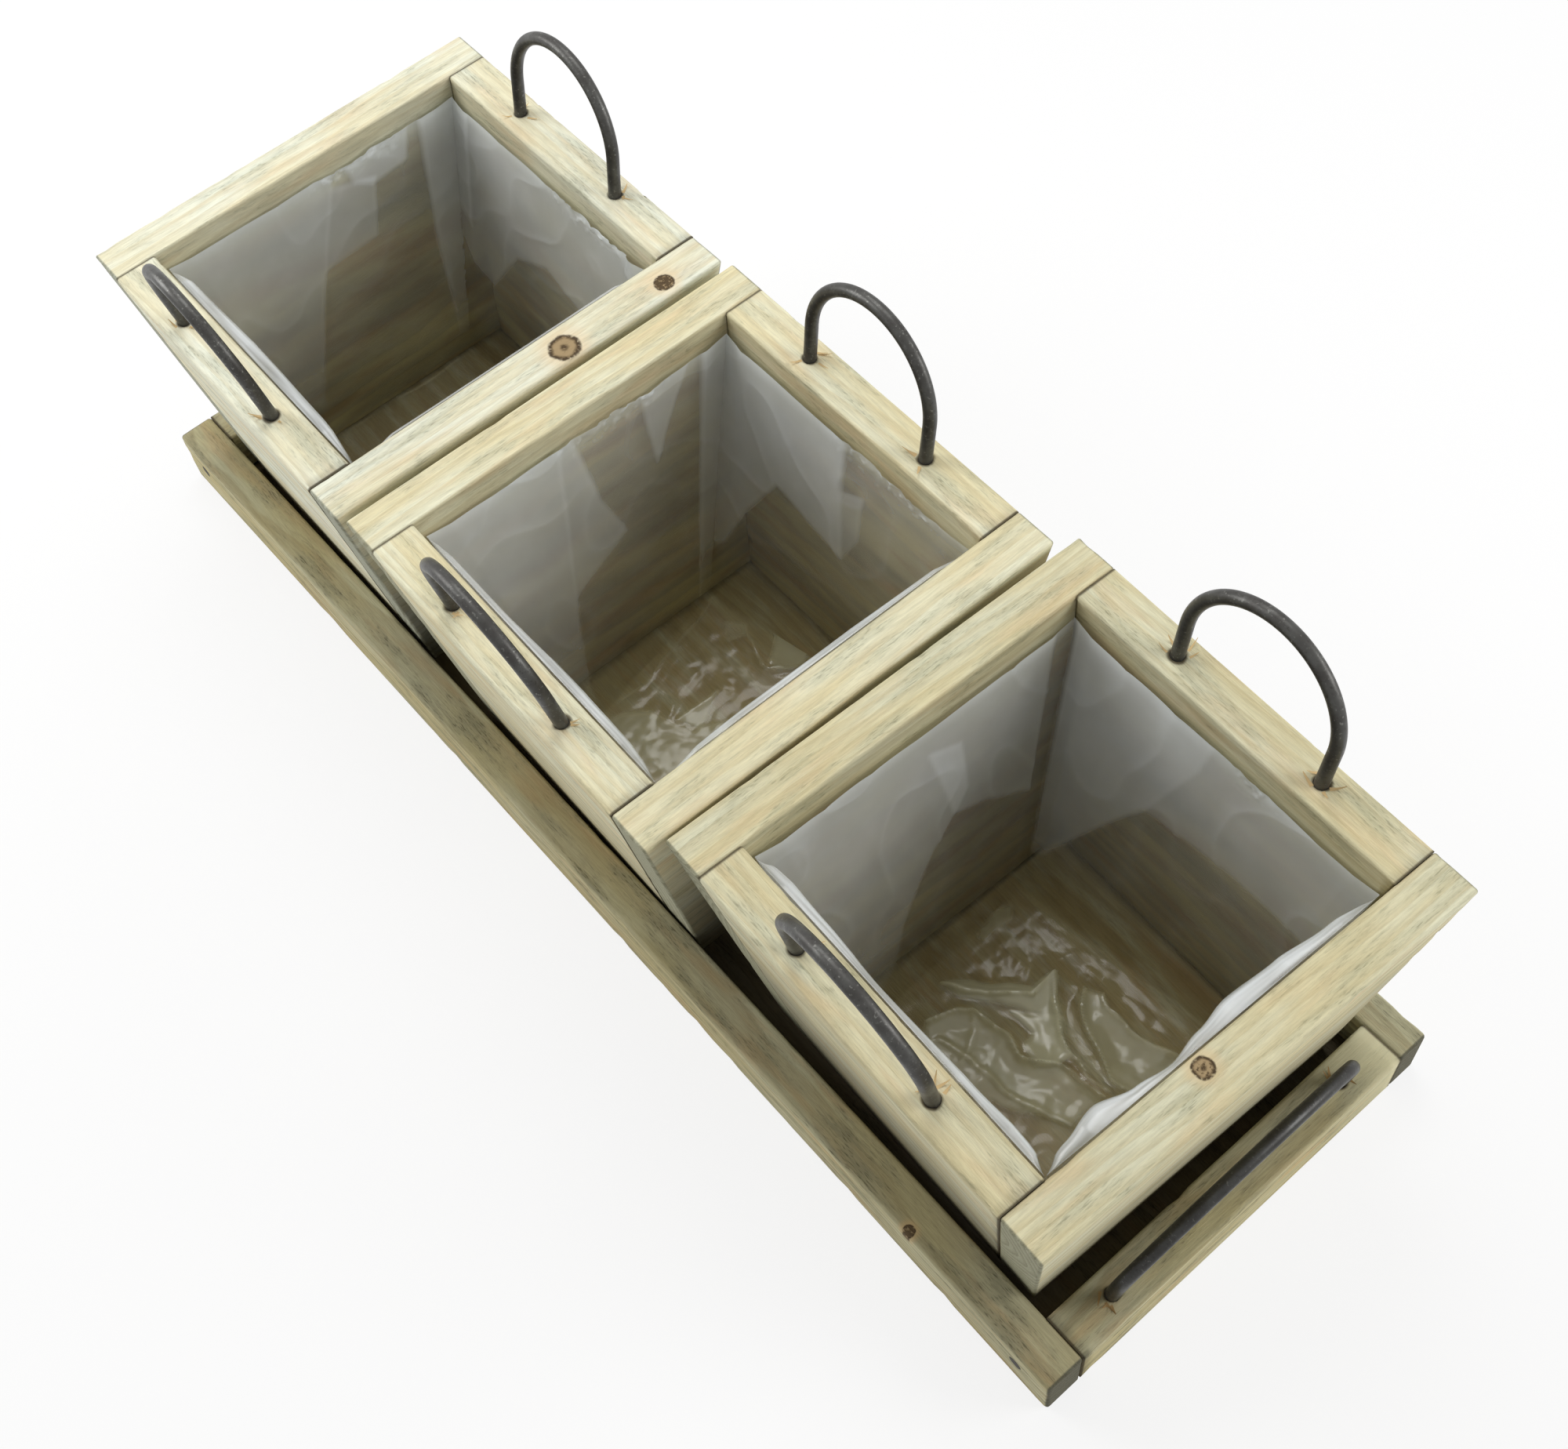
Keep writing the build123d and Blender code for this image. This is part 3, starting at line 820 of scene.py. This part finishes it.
class FilmWall:
    """One wall of a liner between its top edge and its floor, in the box's own frame."""

    def __init__(self, number, side):
        inset = BOARD + TAPER * FILM_TOP + FILM_OFF
        half_x, half_y = RIM_HALF_X - inset, RIM_HALF_Y - inset
        self.tops = [Vector((CORNERS[c][0] * half_x, CORNERS[c][1] * half_y, 0.0)) for c in WALLS[side]]
        self.lows = [Vector((*FLOORS[number][c], 0.0)) for c in WALLS[side]]
        along = (self.tops[1] - self.tops[0]).normalized()
        self.inward = Vector((-along.y, along.x, 0.0))
        self.number = number
        self.seed = Vector((number * 31.0, len(side) * 17.0, 0.0))
        self.areas = outlines(number, side)
        self.roll = ROLLS.get((number, side))
        self.hem = HEMS.get((number, side), NO_HEM)
        self.curl = CURLS.get((number, side), NO_CURL)

    def rolled(self, s, t, corner):
        """Depth of a rolled top edge below the rim, its distance from the board and how white it is, with a
        painted highlight along its crest.
        """
        profile = smooth_profile(self.roll, s)
        away = min(1.0, 8.0 * corner)
        turn = min(1.0, t / ROLL_SHARE) * pi / 2
        fall = max(0.0, t - ROLL_SHARE) / (1.0 - ROLL_SHARE)
        depth = FILM_TOP - ROLL_RISE * away + ROLL_DROP * (1.0 - cos(turn))
        depth += fall * (FILM_FLOOR - depth)
        off = profile * min(1.0, 20.0 * corner) * sin(turn) * max(0.0, 1.0 - fall / ROLL_FADE) ** 2
        off -= ROLL_REACH * (1.0 - sin(turn)) * away
        streak = noise.noise(Vector((s * 6.0, t * 120.0, self.number * 5.0)))
        # White of the roll: streaks, and a painted highlight line along its crest
        white = 0.12 + 0.35 * streak + 0.36 * exp(-(((t - ROLL_SHARE / 2) / 0.014) ** 2))
        white *= max(0.0, 1.0 - t / ROLL_WHITE) * min(1.0, 0.7 * profile)
        return depth, off, white

    def point(self, s, row):
        """Point at shares along and down the wall, how white it is and its cover."""
        t = row**ROW_POWER
        corner = min(s, 1.0 - s)
        hold = min(1.0, 14.0 * corner) * min(1.0, 10.0 * (1.0 - t))
        depth = FILM_TOP + t * (FILM_FLOOR - FILM_TOP)
        off, white, edge = 0.0, 0.0, 0.25
        if self.roll:
            depth, off, white = self.rolled(s, t, corner)
            hold *= min(1.0, 4.0 * t)
            edge = 0.06
        sunk = max(0.0, depth - FILM_TOP) / (FILM_FLOOR - FILM_TOP)
        flat = self.tops[0].lerp(self.tops[1], s).lerp(self.lows[0].lerp(self.lows[1], s), sunk)
        point = flat + Vector((0.0, 0.0, BOX_HEIGHT - depth))

        wave = noise.noise(point / 30.0 + self.seed)
        fold = 1.0 - abs(noise.noise(point / 21.0 + self.seed))
        fine = noise.noise(point / 3.2 + self.seed)
        layers, line = milky(self.areas, s * WALL_SIZE[0], t * WALL_SIZE[1])

        hem = max(0.0, 1.0 - t / HEM_SHARE)
        rough = max(0.0, min(1.0, 12.0 * (s - self.hem[0]), 12.0 * (self.hem[1] - s)))
        speck = max(0.0, noise.noise(point / 1.8 + self.seed) - 0.15)
        speck *= rough * max(0.0, 1.0 - t / SPECK_SHARE)
        curl = max(0.0, 1.0 - abs(s - self.curl[0]) / self.curl[1]) ** 0.5 * max(0.0, 1.0 - t / CURL_SHARE)

        crumple = 0.5 + 0.35 * wave + 0.4 * fold**8 + 0.8 * fine * hem * rough + 0.3 * layers + speck
        off += hold * max(0.0, crumple) + CURL_OUT * curl
        drop = max(0.0, 0.3 + noise.noise(point / 19.0 + self.seed)) * (0.4 + 1.4 * rough) * hem * hold
        drop -= CURL_RISE * curl
        # White of the top edge, folds, edges of milky areas, specks and curl: partly the whitening of creased
        # film, partly painted highlight
        white += edge * hem**1.5 * (1.0 + rough * fine) + 0.05 * fold**16
        white += 0.1 * line * (1.0 - t) + 0.9 * speck + 0.6 * curl
        cover = SINGLE * (1.5 - 1.3 * t) + LAYER * layers * (1.6 - 1.1 * t)
        return point + self.inward * off - Vector((0.0, 0.0, drop)), white, cover


class FilmFloor:
    """The crumpled floor of a liner, in the box's own frame."""

    def __init__(self, number):
        self.corners = [Vector((*corner, BOX_HEIGHT - FILM_FLOOR)) for corner in FLOORS[number]]
        self.seed = Vector((number * 9.0, 4.0, 0.0))
        self.areas = outlines(number, "floor")
        self.folds = FOLDS[number]

    def point(self, s, t):
        """Point at shares along and across the floor, how white it is and its cover."""
        front_left, front_right, back_right, back_left = self.corners
        point = front_left.lerp(front_right, s).lerp(back_left.lerp(back_right, s), t)
        hold = min(1.0, 8.0 * min(s, 1.0 - s, t, 1.0 - t))
        seed = self.seed
        bend = Vector((noise.noise(point / 11.0 + seed), noise.noise(point / 11.0 - seed), 0.0)) * 1.6
        bent = point + bend
        ridge = 1.0 - abs(noise.noise(bent / 27.0 + seed * 3.0))
        height = 0.4 + max(0.0, noise.noise(point / 22.0 + seed)) * 0.8 + 0.5 * ridge**7
        height += 0.6 * abs(noise.noise(bent / 8.0 - seed)) + 0.3 * abs(noise.noise(bent / 4.0 + seed))
        layers, line = milky(self.areas, bent.x, bent.y)
        # White along ridges, milky edges and folds: partly the whitening of creased film, partly painted
        # highlight
        white = 0.04 * ridge**18 + 0.1 * line
        for rise, *fold in self.folds:
            near = line_distance(bent.x, bent.y, fold, FOLD_REACH)
            tent = max(0.0, 1.0 - near / FOLD_HALF)
            height += rise * (0.35 * tent + 0.25 * exp(-((near / LINE_HALF) ** 2)))
            white = max(white, 0.09 * rise * exp(-((near / 0.6) ** 2)))
        lift = Vector((0.0, 0.0, hold * min(height + 0.3 * layers, FLOOR_RISE)))
        cover = 0.35 * SINGLE + 1.8 * LAYER * layers
        return point + lift, white * min(1.0, 4.0 * hold), cover


def film_side(number, side):
    """One side of a liner as a mesh in the box's own frame."""
    bm = bmesh.new()
    crease_and_highlight = bm.verts.layers.float.new("crease_and_highlight")
    veil = bm.verts.layers.float.new("veil")
    shape = FilmFloor(number) if side == "floor" else FilmWall(number, side)
    steps = FLOOR_STEPS if side == "floor" else WALL_STEPS
    middle = Matrix.Translation((0.5, 0.5, 0.0))
    bmesh.ops.create_grid(bm, x_segments=steps, y_segments=steps, size=0.5, matrix=middle)
    for vert in bm.verts:
        s, t, _ = vert.co
        vert.co, vert[crease_and_highlight], vert[veil] = shape.point(s, t)
    mesh = bpy.data.meshes.new(side)
    bm.to_mesh(mesh)
    bm.free()
    return mesh


def film_liner(number):
    bm = bmesh.new()
    for side in (*WALLS, "floor"):
        mesh = film_side(number, side)
        bm.from_mesh(mesh)
        bpy.data.meshes.remove(mesh)
    bmesh.ops.remove_doubles(bm, verts=bm.verts, dist=WELD)
    bmesh.ops.recalc_face_normals(bm, faces=bm.faces)
    for edge in bm.edges:
        edge.smooth = edge.calc_face_angle(0.0) < SHARP_FOLD
    bmesh.ops.transform(bm, matrix=Matrix.Scale(MM, 4) @ box_place(number), verts=bm.verts)
    node = f"box_{number}_liner"
    made = finish_mesh(bm, f"{node}_film", film_paint(f"film_{number}", number * 13.0))
    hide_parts(node)
    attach(made, f"liner_{number}")


# Wire and nails

def wire_and_nails():
    for name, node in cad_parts.items():
        if name.endswith("handle"):
            tone = TRAY_WIRE_TONE if name.startswith("tray") else 1.0
            seed = float(len(name) + ord(name[4]) % 7)
            node.data.materials.clear()
            node.data.materials.append(iron(f"{name}_iron", seed, tone))
        elif name == "tray_nails":
            paint = Paint(bpy.data.materials.new("nail_dark"))
            paint.set(Base_Color=NAIL, Roughness=0.75)
            node.data.materials.clear()
            node.data.materials.append(paint.owner)


# Stage, in metres

CAMERA_PLACE = Vector((0.28514, -0.16385, 0.55006))
CAMERA_AIM = Vector((0.037644, -0.005693, 0.06))
CAMERA_ROLL = radians(-9.0826)
CAMERA_LENS = 45.79
CAMERA_SENSOR = 36.0
CAMERA_NEAR = 0.01

# Lamps: place, aim, width and power
LAMPS = {
    "Top softbox": ((-0.35, 0.25, 0.9), (0.0, 0.0, 0.05), 0.6, 3.5),
    "Left softbox": ((-0.76, -0.44, 0.56), (-0.05, 0.0, 0.05), 0.55, 5.0),
    "Right softbox": ((0.72, 0.62, 0.5), (0.0, 0.0, 0.05), 0.55, 5.0),
}
FLOOR_PALE = (0.9, 0.9, 0.9, 1.0)
FLOOR_HALF = 6.0
FLOOR_SUNK = 0.0002
FLOOR_GLOW = 0.8
SKY_LIGHT = 0.36
SKY_GLOW = 0.64


def aimed(place, aim):
    """Matrix of a camera or lamp at a place that looks at another."""
    turn = (Vector(aim) - Vector(place)).to_track_quat("-Z", "Y").to_matrix().to_4x4()
    return Matrix.Translation(place) @ turn


def camera():
    data = bpy.data.cameras.new("Camera")
    data.lens = CAMERA_LENS
    data.sensor_width = CAMERA_SENSOR
    data.clip_start = CAMERA_NEAR
    made = bpy.data.objects.new("Camera", data)
    made.matrix_world = aimed(CAMERA_PLACE, CAMERA_AIM) @ Matrix.Rotation(CAMERA_ROLL, 4, "Z")
    bpy.context.scene.collection.objects.link(made)
    bpy.context.scene.camera = made


def lamp(name, place, aim, width, power):
    data = bpy.data.lights.new(name, "AREA")
    data.shape = "DISK"
    data.size = width
    data.energy = power
    made = bpy.data.objects.new(name, data)
    made.matrix_world = aimed(place, aim)
    bpy.context.scene.collection.objects.link(made)


def seen(paint):
    """1 for rays by which the stage is looked at, straight or in gloss and glass."""
    kinds = ("Camera", "Glossy", "Transmission")
    straight, gloss, glass = (paint.node("ShaderNodeLightPath", output=f"Is {kind} Ray") for kind in kinds)
    return straight.most(gloss).most(glass)


def stage():
    bm = bmesh.new()
    bmesh.ops.create_grid(bm, x_segments=1, y_segments=1, size=FLOOR_HALF)
    paint = Paint(bpy.data.materials.new("floor_white"))
    paint.set(Base_Color=FLOOR_PALE, Roughness=0.9, Specular_IOR_Level=0.1)
    lit = Link(paint, paint.shader.outputs[0])
    glow = paint.node("ShaderNodeEmission", None, {"Color": WHITE, "Strength": 1.0})
    paint.show(paint.mix_shader(seen(paint) * FLOOR_GLOW, lit, glow))
    floor = finish_mesh(bm, "floor", paint.owner, smooth=False)
    floor.location.z = -FLOOR_SUNK

    world = bpy.data.worlds.new("World")
    sky = Paint(world)
    light = {"Color": WHITE, "Strength": seen(sky) * SKY_GLOW + SKY_LIGHT}
    sky.fill(sky.tree.nodes["Background"], light)
    bpy.context.scene.world = world
    for name, settings in LAMPS.items():
        lamp(name, *settings)
    bpy.context.scene.view_settings.view_transform = "Standard"


camera()
stage()
tray_boards()
for box_number in BOXES:
    box_boards(box_number)
    film_liner(box_number)
wire_and_nails()
all_splinters()
